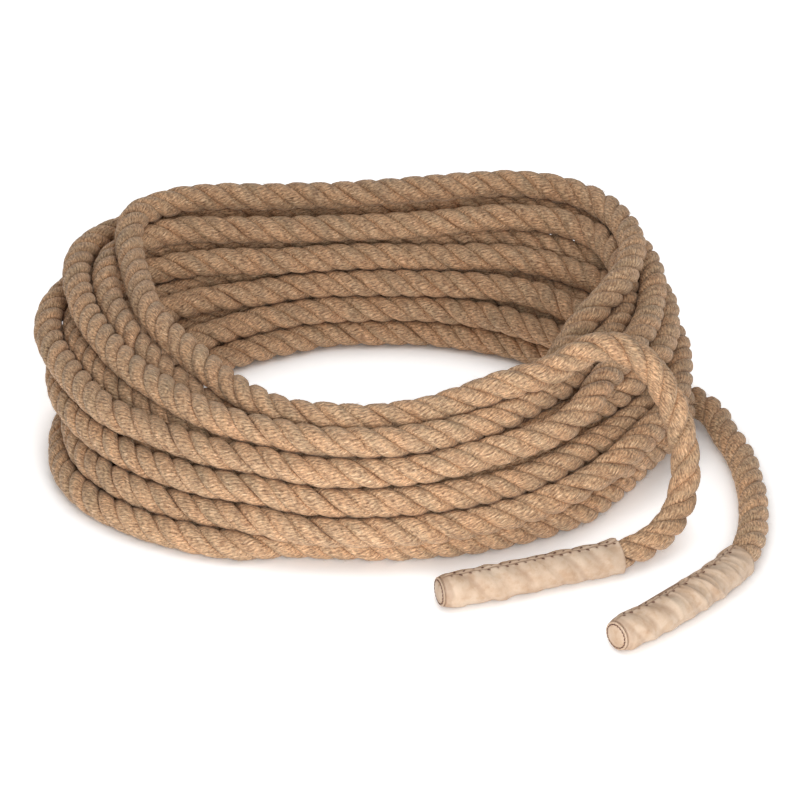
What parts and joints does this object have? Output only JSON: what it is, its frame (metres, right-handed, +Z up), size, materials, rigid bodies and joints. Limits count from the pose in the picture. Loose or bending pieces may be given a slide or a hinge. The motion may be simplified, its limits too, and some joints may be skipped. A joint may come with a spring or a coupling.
{
  "type": "coiled rope",
  "caption": "Long three-strand natural-fibre rope in a loose round coil, both ends capped in stitched pale leather.",
  "frame": {"origin": "centre of the whole object's footprint, on the surface that the coil lies on", "axes": "+Z up, square to the coil; +X to the right and +Y to the back, as seen from the side where both ends lie"},
  "size_m": [0.6438, 0.645, 0.1591],
  "materials": {
    "rope": "rough laid natural fibre",
    "leather": "undyed, matt",
    "thread": "waxed",
    "twine": "matt"
  },
  "bodies": {
    "root": {"rope_coil": "rope", "rope_tail_front": "rope", "leather_sleeve_front": "leather", "end_disc_front": "leather", "seam_thread_front": "thread", "rim_thread_front": "thread", "whipping_front": "twine", "rope_tail_rear": "rope", "leather_sleeve_rear": "leather", "end_disc_rear": "leather", "seam_thread_rear": "thread", "rim_thread_rear": "thread", "whipping_rear": "twine"}
  },
  "joints": []
}
